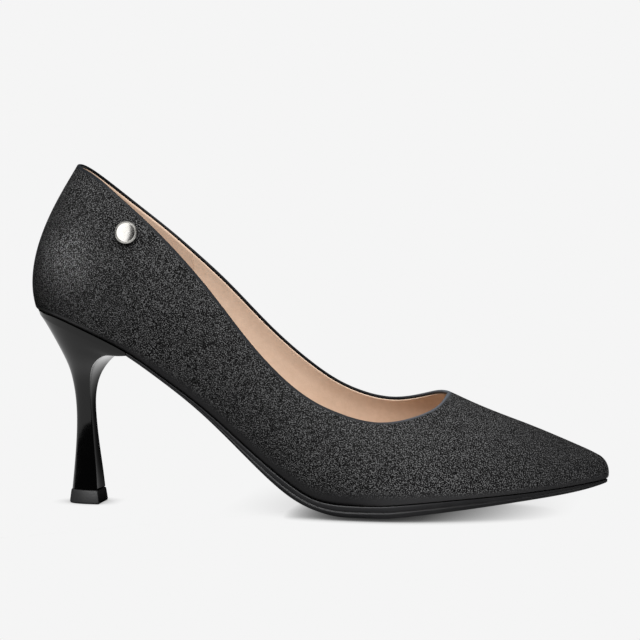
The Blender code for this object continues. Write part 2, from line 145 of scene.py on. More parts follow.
# Sections of the last, from the back of the heel to the toe tip
SECTIONS = Table(
    "x lateral medial ridge_x ridge collar_lateral collar_medial flare_lateral flare_medial side top roll",
    (
        (0.5, 0.0, 0.0, 46.0, 164.0, 147.8, 147.8, 10.4, 10.4, 0.38, 0.39, 2.4),
        (3.6, 10.3, 10.3, 46.0, 164.0, 147.5, 147.0, 9.4, 9.4, 0.39, 0.41, 2.3),
        (11.0, 18.0, 18.0, 46.0, 164.0, 146.2, 144.6, 7.2, 7.2, 0.41, 0.475, 1.6),
        (25.0, 23.6, 23.2, 46.0, 164.0, 142.4, 138.2, 4.6, 4.6, 0.44, 0.56, 0.4),
        (46.0, 25.0, 24.0, 46.0, 164.0, 131.3, 125.7, 3.4, 3.6, 0.47, 0.60, 0.0),
        (62.0, 24.2, 21.8, 62.0, 151.0, 116.8, 113.2, 3.2, 5.0, 0.50, 0.62, 0.0),
        (80.0, 24.4, 20.0, 80.0, 132.0, 97.5, 97.6, 3.6, 7.2, 0.50, 0.63, 0.0),
        (100.0, 27.6, 20.4, 100.0, 107.0, 73.7, 77.5, 4.0, 8.5, 0.50, 0.62, 0.0),
        (120.0, 33.0, 24.6, 120.0, 84.0, 54.9, 60.3, 3.2, 6.5, 0.50, 0.58, 0.0),
        (140.0, 37.0, 30.6, 140.0, 67.0, 44.4, 49.3, 2.6, 3.6, 0.50, 0.54, 0.0),
        (155.0, 38.0, 33.8, 155.0, 59.5, 40.9, 46.7, 2.2, 2.6, 0.50, 0.52, 0.0),
        (170.0, 37.0, 35.4, 170.0, 55.2, 42.7, 49.5, 2.0, 2.2, 0.50, 0.50, 0.0),
        (177.5, 35.5, 35.2, 177.5, 52.8, 45.6, 51.3, 1.9, 2.0, 0.50, 0.49, 0.0),
        (190.0, 31.9, 33.2, 190.0, 47.5, None, None, 1.8, 1.8, 0.50, 0.47, 0.0),
        (203.0, 26.7, 29.3, 203.0, 42.4, None, None, 1.6, 1.6, 0.50, 0.46, 0.0),
        (216.0, 20.5, 24.1, 216.0, 37.8, None, None, 1.4, 1.4, 0.50, 0.46, 0.0),
        (229.0, 13.8, 18.2, 228.5, 33.0, None, None, 1.3, 1.3, 0.50, 0.46, 0.0),
        (239.5, 8.0, 12.7, 237.4, 29.4, None, None, 1.2, 1.2, 0.52, 0.48, 0.0),
        (246.8, 2.4, 7.8, 243.0, 27.0, None, None, 1.1, 1.1, 0.55, 0.56, 0.0),
        (249.9, -3.0, 3.0, 245.5, 25.8, None, None, 1.0, 1.0, 0.55, 0.62, 0.0),
    ),
)

# The bottom in side view: height of the feather edge, and thickness of the sole below it
BOTTOM = Table(
    "x feather sole",
    (
        (0.0, 85.3, 1.4),
        (12.0, 83.0, 1.4),
        (25.0, 78.4, 1.4),
        (35.0, 74.1, 1.4),
        (48.0, 67.4, 1.9),
        (62.0, 57.8, 2.0),
        (80.0, 44.8, 3.0),
        (100.0, 28.6, 4.7),
        (118.0, 15.4, 6.2),
        (130.0, 8.9, 5.9),
        (140.0, 7.1, 6.8),
        (150.0, 6.8, 6.8),
        (160.0, 7.0, 7.0),
        (172.0, 7.9, 6.7),
        (187.0, 9.2, 6.1),
        (202.0, 10.3, 5.2),
        (217.0, 11.5, 4.3),
        (232.0, 13.1, 3.6),
        (243.0, 14.7, 2.8),
        (250.0, 15.8, 1.8),
    ),
)
TREAD_FLAT_FROM_X = 144.0
TREAD_FLAT_TO_X = 163.0

RIDGE_LINE = Table("x y", ((0.0, 0.0), (100.0, 2.0), (180.0, 4.0), (250.0, 3.0)))

# Edge of the sole: depth and inset as shares of the thickness.  A welt, a groove, the side, a crown.
SOLE_EDGE = Table(
    "depth inset",
    (
        (0.0, 0.10), (0.02, 0.035), (0.05, 0.01), (0.10, 0.0), (0.31, 0.0),
        (0.34, 0.015), (0.37, 0.06), (0.40, 0.075), (0.43, 0.06), (0.455, 0.015),
        (0.48, 0.0), (0.56, 0.015), (0.68, 0.07), (0.75, 0.15), (0.79, 0.26),
        (0.82, 0.45), (0.85, 0.75), (0.90, 1.5), (0.95, 2.4), (1.0, 3.6),
    ),
)

# Heel block from the seat down
HEEL = Table(
    "back back_z breast breast_z half hollow",
    (
        (2.6, 83.3, 46.3, 66.5, 23.8, 0.2),
        (5.3, 79.4, 41.4, 66.2, 22.4, 1.0),
        (8.3, 74.4, 36.4, 66.1, 20.6, 1.8),
        (11.1, 69.3, 32.4, 64.2, 18.2, 2.2),
        (13.6, 64.2, 29.6, 61.6, 15.2, 2.0),
        (15.4, 59.2, 27.5, 58.2, 11.4, 1.5),
        (16.6, 53.6, 26.0, 53.4, 7.6, 1.0),
        (17.6, 46.0, 25.3, 46.0, 5.0, 0.6),
        (18.0, 36.5, 25.8, 36.5, 4.2, 0.5),
        (17.6, 25.5, 26.8, 25.5, 4.8, 0.5),
        (16.7, 14.5, 28.0, 14.5, 5.9, 0.5),
        (15.9, 6.3, 28.7, 6.3, 6.9, 0.5),
    ),
)
HEEL_SQUARENESS = 2.5

# Top piece, from its joint to the floor
HEEL_TIP = Table(
    "z back breast half hollow",
    (
        (6.0, 15.95, 28.55, 6.85, 0.5),
        (5.85, 15.6, 28.85, 7.08, 0.5),
        (5.4, 15.4, 29.0, 7.2, 0.5),
        (3.2, 15.1, 29.3, 7.45, 0.5),
        (0.9, 14.8, 29.6, 7.7, 0.5),
        (0.35, 14.87, 29.53, 7.62, 0.5),
        (0.0, 15.3, 29.1, 7.2, 0.5),
    ),
)
TIP_BACK_X = min(HEEL_TIP["back"])

# Leather turned over the topline that shows above the lining inside
FOLD_BAND = Table(
    "x band",
    (
        (0.0, 0.12), (20.0, 0.36), (34.0, 0.3), (46.0, 0.12), (58.0, 0.12),
        (68.0, 0.25), (80.0, 0.3), (95.0, 0.22), (115.0, 0.1), (150.0, 0.08),
        (190.0, 0.25),
    ),
)

# Half profile of the stud: a bare low dome in a rounded rim
STUD = Table(
    "radius height",
    (
        (4.5, 0.0), (4.78, 0.12), (4.9, 0.4), (4.9, 1.15), (4.82, 1.42),
        (4.62, 1.6), (4.42, 1.66), (4.25, 1.6), (4.16, 1.5), (4.08, 1.46),
        (3.9, 1.48), (3.3, 1.53), (2.6, 1.57), (1.8, 1.6), (0.9, 1.615),
    ),
)
STUD_CROWN = 1.62

# The camera that the photograph was taken with
AZIMUTH = 11.0
ELEVATION = 4.2
DISTANCE = 1200.0
AIM = (126.12, 0.0, 81.335)
PIXELS_PER_MM = 2.3311
FRAME_PIXELS = 640.0
SENSOR = 36.0
CLIP = (0.05, 200.0)  # metres

# Studio
BACKDROP = 0.913  # radiance of the plain backdrop and floor
FLOOR_SIZE = 40.0
SHADOW_SAMPLES = 16

# The floor's painted shadow: how far it looks for the shoe (millimetres), how far it leans to the front,
# its depth, and the places along the floor (metres) between which it sets in and fades out
SHADOWS = Table(
    "reach lean depth left right fade gone",
    (
        (9.0, 0.5, 1.0, -1.0, -0.9, 0.05, 0.12),
        (75.0, 2.5, 1.0, -0.04, 0.03, 0.035, 0.11),
    ),
)

# Reflectors on the floor, out of the camera's sight: a mirror card is seen only in gloss
CARDS = Table(
    "name left front right back level mirror lit",
    (
        ("heel_card", -0.8, -0.45, 0.45, 0.045, 0.5, True, "heel_block stud_disc"),
        ("flare_card", -0.8, 0.045, -0.13, 0.6, 0.5, True, "heel_block"),
        ("wall_card", -0.45, -0.45, 0.03, 0.045, 0.5, False, "outsole_rubber"),
        ("toe_card", 0.03, -0.45, 0.45, 0.045, 0.88, False, "upper_leather outsole_rubber"),
    ),
)
CARD_DEPTH = 0.002

# A glow of the floor behind the shoe: shares of the direction's y and z between which it sets in
GLOW_BEHIND = (0.55, 0.75)
GLOW_LOW = (-0.04, -0.45)
GLOW_BEND = 1.6
GLOW_LEVEL = 2.2

# The dome: radiance by the height of the direction
DOME = Table("height level", ((0.0, 0.02), (0.30, 0.02), (0.55, 0.16), (1.0, 0.30)))

# Grain of the leather: how fine, the noise that is used, how sharp its pebbles are, its depth in millimetres
GRAIN_PER_METRE = 1900.0
GRAIN_SPACING = 0.4  # share of a pebble at which its surroundings are sampled
GRAIN_SPAN = (-0.18, 0.18)
GRAIN_POWER = 2.9
GRAIN_DEPTH = 0.16
PIT_COLOUR = (0.0005, 0.0005, 0.0005, 1.0)
PEBBLE_COLOUR = (0.278, 0.278, 0.281, 1.0)

# Where the lights are aimed at
SHOE = (0.0, 0.0, 0.07)
COUNTER = (-0.105, -0.0205, 0.108)
TIP = (-0.102, 0.0, 0.003)

# Soft boxes and beams
LIGHTS = Table(
    "name x y z aim width height spread power gloss_only lit",
    (
        ("left_box", -0.95, -0.75, 0.35, SHOE, 0.25, 0.6, 180.0, 5.5, True, "upper_leather"),
        ("counter_beam", -0.175, -0.2065, 0.132, COUNTER, 0.016, 0.016, 9.0, 0.0007, False, "upper_leather"),
        ("stud_box", -0.2, -0.78, 0.36, SHOE, 0.28, 0.4, 180.0, 0.45, True, "stud_disc"),
        ("edge_strip", 0.9, -0.2, 0.06, SHOE, 0.1, 0.3, 180.0, 0.28, True, "heel_block heel_top_piece"),
        ("key_box", 0.02, -0.18, 0.42, SHOE, 0.3, 0.3, 180.0, 0.845, False, "upper_leather"),
        ("fill_box", -0.05, -0.5, 0.6, SHOE, 0.3, 0.3, 180.0, 0.51, False, "upper_leather"),
        ("sole_box", -0.15, -0.38, 0.5, SHOE, 0.3, 0.3, 180.0, 3.0, False, "outsole_rubber"),
        ("tip_box", -0.25, -0.5, 0.25, TIP, 0.2, 0.2, 180.0, 2.0, False, "heel_top_piece"),
        ("lining_box", 0.1, -1.0, 1.4, SHOE, 1.0, 0.8, 180.0, 54.0, False,
         "lining lining_heel_piece insole_sock"),
    ),
)


class Curve:
    """Cubic spline through named knots; the end slopes are free unless they are given."""

    def __init__(self, knots, values, slopes=None):
        self.knots = np.array(knots, float)
        self.values = np.array(values, float)
        count = len(knots)
        step = np.diff(self.knots)
        rise = np.diff(self.values) / step
        matrix = np.zeros((count, count))
        right = np.zeros(count)
        matrix[0, 0] = matrix[-1, -1] = 1.0
        for i in range(1, count - 1):
            matrix[i, i - 1 : i + 2] = step[i - 1], 2.0 * (step[i - 1] + step[i]), step[i]
            right[i] = 6.0 * (rise[i] - rise[i - 1])
        if slopes is not None:
            matrix[0, :2] = 2.0 * step[0], step[0]
            right[0] = 6.0 * (rise[0] - slopes[0])
            matrix[-1, -2:] = step[-1], 2.0 * step[-1]
            right[-1] = 6.0 * (slopes[1] - rise[-1])
        self.bend = np.linalg.solve(matrix, right)
        self.step = step

    def __call__(self, at):
        at = np.asarray(at, float)
        i = np.clip(np.searchsorted(self.knots, at) - 1, 0, len(self.step) - 1)
        b = (at - self.knots[i]) / self.step[i]
        a = 1.0 - b
        bent = (a**3 - a) * self.bend[i] + (b**3 - b) * self.bend[i + 1]
        return a * self.values[i] + b * self.values[i + 1] + bent * self.step[i] ** 2 / 6.0

    def slope(self, at, reach=0.05):
        return (self(at + reach) - self(at - reach)) / (2.0 * reach)


def bisect(function, low, high, turns=46):
    """Where a rising function crosses zero, for numbers or arrays."""
    for _ in range(turns):
        middle = (low + high) / 2.0
        below = function(middle) < 0.0
        low = np.where(below, middle, low)
        high = np.where(below, high, middle)
    return (low + high) / 2.0


def unit(vectors):
    return vectors / np.maximum(np.linalg.norm(vectors, axis=-1, keepdims=True), 1e-12)


def ramp(values, start, stop):
    """0 at start, 1 at stop, smooth between."""
    share = np.clip((values - start) / (stop - start), 0.0, 1.0)
    return share * share * (3.0 - 2.0 * share)


FEATHER = Curve(BOTTOM["x"], BOTTOM["feather"])
SOLE_DEPTH = Curve(BOTTOM["x"], BOTTOM["sole"])
RIDGE_Y = Curve(RIDGE_LINE["x"], RIDGE_LINE["y"])
FAN_ROWS = SECTIONS["ridge_x"].count(CONE_START_X)
RIDGE = Curve(SECTIONS["ridge_x"][FAN_ROWS - 1 :], SECTIONS["ridge"][FAN_ROWS - 1 :])


def bottom_height(x, away):
    return FEATHER(x) + away * np.hypot(1.0, FEATHER.slope(x))


def tread_height(x):
    free = np.maximum(0.0, FEATHER(x) - SOLE_DEPTH(x) * np.hypot(1.0, FEATHER.slope(x)))
    flat = (x >= TREAD_FLAT_FROM_X) & (x <= TREAD_FLAT_TO_X)
    return np.where(flat, 0.0, free)


class Side:
    """One half of the last: t along the feather edge, v the share from the feather edge to the ridge."""

    def __init__(self, name, sign):
        x = SECTIONS["x"]
        y = [sign * width for width in SECTIONS[name]]
        y[-1] = RIDGE_LINE["y"][-1]
        t = [0.0]
        for a, b in zip(zip(x, y), zip(x[1:], y[1:])):
            t.append(t[-1] + math.dist(a, b))
        self.sign = sign
        self.t = t
        self.end = t[-1]
        self.x = Curve(t, x, (0.0, 0.0))
        self.y = Curve(t, y, (sign, -sign))
        self.flare = Curve(t, SECTIONS["flare_" + name])
        self.ridge_x = Curve(t, SECTIONS["ridge_x"])
        self.side = Curve(t, SECTIONS["side"])
        self.top = Curve(t, SECTIONS["top"])
        self.roll = Curve(t, SECTIONS["roll"])
        self.throat = self.at_ridge(THROAT_X)
        self.collar = [height for height in SECTIONS["collar_" + name] if height is not None]
        self.topline_t, self.topline_v = self.draw_topline()

    def at_x(self, x):
        return bisect(lambda t: self.x(t) - x, 0.0 * np.asarray(x, float), self.end)

    def at_ridge(self, x):
        return bisect(lambda t: self.ridge_x(t) - x, self.t[FAN_ROWS] + 0.0 * np.asarray(x, float), self.end)

    def outward(self, t):
        ridge_x = self.ridge_x(t)
        across = np.stack((self.x(t) - ridge_x, self.y(t) - RIDGE_Y(ridge_x)), -1)
        return unit(across), np.linalg.norm(across, axis=-1)

    def point(self, t, v):
        """A place on the outside of the upper."""
        t, v = np.broadcast_arrays(np.asarray(t, float), np.asarray(v, float))
        out, width = self.outward(t)
        x = self.x(t)
        ridge_x = self.ridge_x(t)
        foot = np.stack((x, self.y(t), FEATHER(x)), -1)
        ridge = np.stack((ridge_x, RIDGE_Y(ridge_x), RIDGE(ridge_x)), -1)
        fall = np.where(ridge_x > THROAT_X, RIDGE.slope(ridge_x), 0.0)
        lean = self.flare(t)
        reach = self.top(t) * width
        climb = self.side(t) * (ridge[..., 2] - foot[..., 2])
        low = foot + np.stack((out[..., 0] * lean, out[..., 1] * lean, climb), -1)
        high = ridge + np.stack((out[..., 0] * reach, out[..., 1] * reach, fall * out[..., 0] * reach), -1)
        v = v[..., None]
        w = 1.0 - v
        return foot * w**3 + low * (3 * w * w * v) + high * (3 * w * v * v) + ridge * v**3

    def normal(self, t, v, reach=0.01):
        """Outward normal of the upper."""
        v = np.clip(v, reach, 1.0 - reach)
        t = np.clip(t, reach, self.end - reach)
        along = self.point(t + reach, v) - self.point(t - reach, v)
        climb = self.point(t, v + reach) - self.point(t, v - reach)
        return unit(np.cross(climb, along)) * self.sign

    def share_at_height(self, t, z):
        return bisect(lambda v: self.point(t, v)[..., 2] - z, 0.0 * np.asarray(t, float), 1.0)

    def draw_topline(self, unroll=70.0):
        t = self.t[: len(self.collar)]
        v = [float(self.share_at_height(a, z)) for a, z in zip(t, self.collar)]
        flat = [(-t[2], v[2]), (-t[1], v[1])] + list(zip(t, v)) + [(float(self.throat), 1.0)]
        flat += [(t[-1], 2.0 - v[-1]), (t[-2], 2.0 - v[-2])]
        run = [0.0]
        for a, b in zip(flat, flat[1:]):
            run.append(run[-1] + math.hypot(b[0] - a[0], unroll * (b[1] - a[1])))
        start, stop = run[2], run[2 + len(t)]
        share = [(r - start) / (stop - start) for r in run]
        return Curve(share, [p[0] for p in flat]), Curve(share, [p[1] for p in flat])

    def topline_share(self, t):
        return bisect(lambda q: self.topline_t(q) - t, 0.0 * t, 1.0)

    def stations(self, guide):
        """Where each line of the mesh leaves the feather edge, and where it ends above."""
        turn = float(self.at_x(THROAT_START_X))
        rear = turn * np.arange(REAR_STATIONS) / REAR_STATIONS
        first = float(self.topline_share(np.array([turn]))[0])
        step = np.arange(THROAT_STATIONS) / THROAT_STATIONS
        q = first + (1.0 - first) * step
        throat = turn + (float(self.throat) - turn) * step
        ahead = np.arange(VAMP_STATIONS + 1) / VAMP_STATIONS
        vamp = self.at_ridge(guide.ridge_x(guide.throat + (guide.end - guide.throat) * ahead))
        start = np.concatenate((rear, throat, vamp))
        top_t = np.concatenate((rear, self.topline_t(q), vamp))
        rear_v = self.topline_v(self.topline_share(rear))
        top_v = np.concatenate((rear_v, self.topline_v(q), np.ones(len(vamp))))
        return start, top_t, top_v

    def inset(self, t, amount):
        """Plan position inside the feather edge, square to it."""
        along = unit(np.stack((self.x.slope(t), self.y.slope(t)), -1))
        inward = np.stack((-along[..., 1], along[..., 0]), -1)
        wrong = np.sum(inward * self.outward(t)[0], -1) > 0.0
        inward = np.where(wrong[..., None], -inward, inward)
        return np.stack((self.x(t), self.y(t)), -1) + inward * np.asarray(amount)[..., None]


LATERAL = Side("lateral", -1.0)
MEDIAL = Side("medial", 1.0)
SIDES = (LATERAL, MEDIAL)

tip_low, tip_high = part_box("heel_tip")
SHIFT = np.array((tip_low.x / MM - TIP_BACK_X, (tip_low.y + tip_high.y) / 2.0 / MM, 0.0))


def placed(points):
    """Drawn points in the frame, in metres."""
    return (np.asarray(points, float) + SHIFT) * MM


def new_object(name, data):
    thing = bpy.data.objects.new(name, data)
    bpy.context.scene.collection.objects.link(thing)
    return thing


def smoothed(bm, sharp):
    """Shade the faces smooth, apart from edges that turn by more than sharp degrees."""
    for face in bm.faces:
        face.smooth = True
    for edge in bm.edges:
        edge.smooth = not (edge.is_manifold and edge.calc_face_angle() > math.radians(sharp))


def new_piece(name, verts, faces, material, replaces=(), sharp=ALL_SMOOTH, attributes=None):
    """A mesh piece that rides on the shoe.  verts are drawn points; sharp is an edge angle in degrees."""
    mesh = bpy.data.meshes.new(name)
    mesh.from_pydata(placed(verts).tolist(), [], [list(face) for face in faces])
    mesh.validate()
    for key, values in (attributes or {}).items():
        layer = mesh.attributes.new(key, "FLOAT", "POINT")
        layer.data.foreach_set("value", np.asarray(values, np.float32))
    bm = bmesh.new()
    bm.from_mesh(mesh)
    bmesh.ops.recalc_face_normals(bm, faces=bm.faces)
    smoothed(bm, sharp)
    bm.to_mesh(mesh)
    bm.free()
    piece = new_object(name, mesh)
    mesh.materials.append(material)
    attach(piece, BODY)
    if replaces:
        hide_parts(*replaces)
    return piece


def quads(first, second, closed=False):
    """Faces between two rows of vertex numbers."""
    pairs = list(zip(first, second))
    if closed:
        pairs.append(pairs[0])
    return [(a, b, d, c) for (a, b), (c, d) in zip(pairs, pairs[1:])]


def stacked(rows, size, closed=True):
    """Faces between rows of one size that are numbered one after the other."""
    number = np.arange(rows * size).reshape(rows, size)
    return [face for first, second in zip(number, number[1:]) for face in quads(first, second, closed)]


def extended(verts, faces, ring, rows):
    """A mesh that goes on from one of its closed edges by further rows of vertices."""
    blocks = [verts]
    faces = list(faces)
    count = len(verts)
    for row in rows:
        number = np.arange(count, count + len(row))
        faces += quads(ring, number, closed=True)
        blocks.append(row)
        ring = number
        count += len(row)
    return np.concatenate(blocks), faces


def vertex_normals(verts, faces):
    faces = np.array(faces)
    cross = np.cross(verts[faces[:, 2]] - verts[faces[:, 0]], verts[faces[:, 3]] - verts[faces[:, 1]])
    total = np.zeros_like(verts)
    for corner in range(4):
        np.add.at(total, faces[:, corner], cross)
    return unit(total)


class Shell:
    """The outside of the upper as one grid of vertices, both halves sharing their common lines."""

    def __init__(self):
        grids = []
        for side in SIDES:
            start, top_t, top_v = side.stations(LATERAL)
            margin = np.minimum(MARGIN, MARGIN_SHARE * side.outward(start)[1])
            rows = []
            for amount in (margin, np.full_like(margin, FEATHER_ROUND)):
                plan = side.inset(start, amount)
                rows.append(np.concatenate((plan, FEATHER(plan[:, :1])), -1))
            low_v = side.share_at_height(start, FEATHER(side.x(start)) + FEATHER_ROUND)
            corner = side.point(start, 0.0)
            first = side.point(start, low_v)
            for s in np.linspace(0.0, 1.0, ROUND_ROWS)[1:-1]:
                rows.append(rows[1] * (1 - s) ** 2 + corner * (2 * s * (1 - s)) + first * s * s)
            roll = np.zeros_like(corner)
            roll[:, :2] = side.outward(start)[0] * side.roll(start)[:, None]
            for s in np.linspace(0.0, 1.0, WALL_ROWS + 1):
                drift = 1.0 - (1.0 - s) ** LINE_BEND
                place = side.point(start + (top_t - start) * drift, low_v + (top_v - low_v) * s)
                rows.append(place + roll * s**ROLL_BEND)
            grids.append(np.stack(rows, 1))
        lateral, medial = grids
        count, height = lateral.shape[:2]
        self.throat = REAR_STATIONS + THROAT_STATIONS
        self.wall_row = ROUND_ROWS
        number = np.arange(count * height).reshape(count, height)
        other = number + count * height
        other[0] = number[0]
        other[-1] = number[-1]
        other[self.throat :, -1] = number[self.throat :, -1]
        verts = np.concatenate((lateral.reshape(-1, 3), medial.reshape(-1, 3)))
        used = np.unique(np.concatenate((number.ravel(), other.ravel())))
        renumber = np.full(len(verts), -1)
        renumber[used] = np.arange(len(used))
        self.verts = verts[used]
        self.grids = tuple(renumber[grid] for grid in (number, other))
        near, far = (grid[:, -1] for grid in self.grids)
        self.ring = np.concatenate((near[: self.throat + 1], far[self.throat - 1 : 0 : -1]))

    def faces(self, first_row=0):
        found = []
        for grid, turn in zip(self.grids, (1, -1)):
            for left, right in zip(grid[:-1, first_row:], grid[1:, first_row:]):
                found += [face[::turn] for face in quads(left, right)]
        return found


def nearest_on_ring(spots, ring, *columns):
    """Distance from each spot to a closed line, and the line's columns at the nearest place."""
    tree = kdtree.KDTree(len(ring))
    for i, spot in enumerate(ring):
        tree.insert(Vector(spot), i)
    tree.balance()
    index = np.array([tree.find(Vector(spot))[1] for spot in spots])
    found = []
    for step in (-1, 0):
        a = (index + step) % len(ring)
        b = (a + 1) % len(ring)
        side = ring[b] - ring[a]
        share = np.sum((spots - ring[a]) * side, -1) / np.sum(side * side, -1)
        share = np.clip(share, 0.0, 1.0)[:, None]
        gap = np.linalg.norm(spots - ring[a] - side * share, axis=-1)
        found.append([gap] + [column[a] * (1.0 - share) + column[b] * share for column in columns])
    closer = (found[0][0] < found[1][0])[:, None]
    gap = np.minimum(found[0][0], found[1][0])
    return [gap] + [np.where(closer, first, second) for first, second in zip(found[0][1:], found[1][1:])]


def recess(verts, ring, up, depth, reach):
    """Pull the vertices near an edge back from it, along the surface, so that it can be rolled over."""
    gap, direction, pull = nearest_on_ring(verts, verts[ring], up, depth)
    return verts - unit(direction) * pull * np.clip(1.0 - gap / reach, 0.0, 1.0)[:, None]


def edge_frame(verts, faces, ring):
    """Normal of the surface along an edge ring, and the direction off its edge."""
    normal = vertex_normals(verts, faces)[ring]
    along = unit(np.roll(verts[ring], -1, 0) - np.roll(verts[ring], 1, 0))
    up = unit(np.cross(normal, along))
    if up[0, 2] < 0.0:
        up = -up
    return normal, up


class Nodes:
    """Short hand for the node tree of a new material or world."""

    def __init__(self, name, kind="materials"):
        self.data = getattr(bpy.data, kind).new(name)
        self.data.use_nodes = True
        self.tree = self.data.node_tree
        self.shader = self.tree.nodes.get("Principled BSDF")

    def add(self, kind, settings=None, **inputs):
        node = self.tree.nodes.new("ShaderNode" + kind)
        for key, value in (settings or {}).items():
            setattr(node, key, value)
        self.put(node, inputs)
        return node

    def put(self, node, inputs):
        """Set or link a node's inputs, each by its number or by its name with _ for a space."""
        for key, value in inputs.items():
            socket = node.inputs[int(key) if key.isdigit() else key.replace("_", " ")]
            if isinstance(value, bpy.types.NodeSocket):
                self.tree.links.new(value, socket)
            else:
                socket.default_value = value

    def shade(self, **inputs):
        self.put(self.shader, inputs)

    def emit(self, level):
        """Give off grey light and nothing else."""
        tone = self.add("CombineColor", Red=level, Green=level, Blue=level).outputs["Color"]
        self.shade(Base_Color=rgb(0.0, 0.0, 0.0), Roughness=1.0, Emission_Strength=1.0, Emission_Color=tone)

    def math(self, operation, a, b=0.0, clamp=False):
        settings = {"operation": operation, "use_clamp": clamp}
        return self.add("Math", settings, **{"0": a, "1": b}).outputs[0]

    def scaled(self, value, low, high, to_low=0.0, to_high=1.0):
        ends = {"From Min": low, "From Max": high, "To Min": to_low, "To Max": to_high}
        return self.add("MapRange", {"clamp": True}, Value=value, **ends).outputs["Result"]

    def mix(self, share, a, b):
        return self.add("Mix", {"data_type": "RGBA"}, **{"0": share, "6": a, "7": b}).outputs[2]

    def place(self):
        return self.add("TexCoord").outputs["Object"]

    def noise(self, scale, detail=2.0, rough=0.5, where=None):
        node = self.add("TexNoise", Scale=scale, Detail=detail, Roughness=rough, Vector=where or self.place())
        return node.outputs["Fac"]

    def bump(self, height, distance, strength=1.0):
        return self.add("Bump", Height=height, Distance=distance, Strength=strength).outputs["Normal"]

    def attribute(self, name):
        return self.add("Attribute", {"attribute_name": name}).outputs["Fac"]


def rgb(red, green, blue):
    return (red, green, blue, 1.0)


def even_noise(n, scale):
    """Noise about zero with its slow part taken off, so that a grain stays even over the surface."""
    place = n.place()
    around = None
    for corner in ((1, 1, 1), (1, -1, -1), (-1, 1, -1), (-1, -1, 1)):
        step = [GRAIN_SPACING / scale * way for way in corner]
        spot = n.add("VectorMath", {"operation": "ADD"}, **{"0": place, "1": step})
        sample = n.noise(scale, 0.0, 0.5, spot.outputs[0])
        around = sample if around is None else n.math("ADD", around, sample)
    middle = n.noise(scale, 0.0, 0.5, place)
    return n.math("SUBTRACT", middle, n.math("MULTIPLY", around, 0.25))


def leather_material():
    """Black leather with a printed pebble grain, smooth where it is folded or stretched over the last."""
    n = Nodes("pebbled_leather")
    height = even_noise(n, GRAIN_PER_METRE)
    grain = n.attribute("grain")
    edge = n.attribute("edge")
    slow = n.noise(38.0, 3.0, 0.5)
    level = n.math("POWER", n.scaled(height, *GRAIN_SPAN), GRAIN_POWER)
    colour = n.mix(level, PIT_COLOUR, PEBBLE_COLOUR)
    smooth = n.mix(slow, rgb(0.050, 0.0495, 0.0515), rgb(0.060, 0.0595, 0.0615))
    colour = n.mix(grain, smooth, colour)
    # painted shade: towards the toe the colour is mixed halfway to a flat dark tone
    colour = n.mix(n.attribute("calm"), colour, rgb(0.024, 0.0235, 0.025))
    # painted highlight: a pale line on the lip along the heel seat
    colour = n.mix(n.attribute("lip"), colour, rgb(0.27, 0.27, 0.275))
    # painted highlight on the fold at the throat
    fold = n.mix(n.attribute("pale"), rgb(0.030, 0.034, 0.040), rgb(0.19, 0.21, 0.24))
    # painted shade on the fold's inner face and on its tuck behind the lining
    fold = n.mix(n.attribute("inner"), fold, rgb(0.008, 0.009, 0.011))
    colour = n.mix(edge, colour, fold)
    rough = n.scaled(slow, 0.3, 0.7, 0.44, 0.50)
    rough = n.math("SUBTRACT", rough, n.math("MULTIPLY", edge, 0.1))
    normal = n.bump(n.math("MULTIPLY", n.scaled(height, *GRAIN_SPAN), grain), GRAIN_DEPTH * MM, 1.0)
    n.shade(Base_Color=colour, Roughness=rough, Normal=normal, Specular_IOR_Level=0.16)
    return n.data


LINING_LIGHT = rgb(0.61, 0.455, 0.345)
LINING_DARK = rgb(0.57, 0.42, 0.312)


def lining_material(name, light, dark):
    """Tan lining leather: fine pores, soft mottling."""
    n = Nodes(name)
    mottle = n.noise(95.0, 4.0, 0.6)
    pores = n.noise(1500.0, 2.0, 0.6)
    fibre = n.noise(420.0, 3.0, 0.6)
    colour = n.mix(n.scaled(mottle, 0.32, 0.68), dark, light)
    colour = n.mix(n.scaled(fibre, 0.35, 0.75, 0.0, 0.22), colour, rgb(0.36, 0.23, 0.15))
    height = n.math("ADD", pores, n.math("MULTIPLY", fibre, 0.8))
    rough = n.scaled(pores, 0.3, 0.7, 0.56, 0.72)
    normal = n.bump(height, 0.00010, 0.45)
    n.shade(Base_Color=colour, Roughness=rough, Normal=normal, Specular_IOR_Level=0.35)
    return n.data


def sole_material():
    """Moulded black rubber: a satin edge with a dark seam line and faint painted light in its groove, a fine
    texture below.
    """
    n = Nodes("sole_rubber")
    fine = n.noise(1700.0, 2.0, 0.55)
    slow = n.noise(60.0, 3.0, 0.55)
    under = n.attribute("under")
    bands = {"wave_type": "BANDS", "bands_direction": "X"}
    ribs = n.add("TexWave", bands, Scale=62.0, Distortion=0.0, Vector=n.place())
    rib = n.math("MULTIPLY", n.scaled(ribs.outputs["Fac"], 0.25, 0.75), under)
    height = n.math("ADD", n.math("MULTIPLY", fine, 0.35), rib)
    colour = n.mix(n.scaled(slow, 0.3, 0.7), rgb(0.021, 0.021, 0.0225), rgb(0.029, 0.029, 0.031))
    # painted light in the groove, lightening it against its own shade
    colour = n.mix(n.attribute("lift"), colour, rgb(0.055, 0.055, 0.057))
    colour = n.mix(n.attribute("groove"), colour, rgb(0.015, 0.015, 0.016))
    rough = n.scaled(fine, 0.3, 0.7, 0.42, 0.54)
    n.shade(Base_Color=colour, Roughness=rough, Normal=n.bump(height, 0.00018, 0.5))
    return n.data


def lacquer_material():
    """Black lacquer over the heel block, with the faint ripple of a sprayed coat."""
    n = Nodes("heel_lacquer")
    ripple = n.noise(130.0, 2.0, 0.45)
    dust = n.noise(900.0, 2.0, 0.5)
    rough = n.scaled(ripple, 0.3, 0.7, 0.07, 0.13)
    colour = n.mix(n.scaled(dust, 0.35, 0.75), rgb(0.0045, 0.0045, 0.005), rgb(0.0075, 0.0075, 0.008))
    n.shade(Base_Color=colour, Roughness=rough, Normal=n.bump(ripple, 0.0002, 0.12))
    n.shade(Coat_Weight=0.3, Coat_Roughness=0.05)
    return n.data


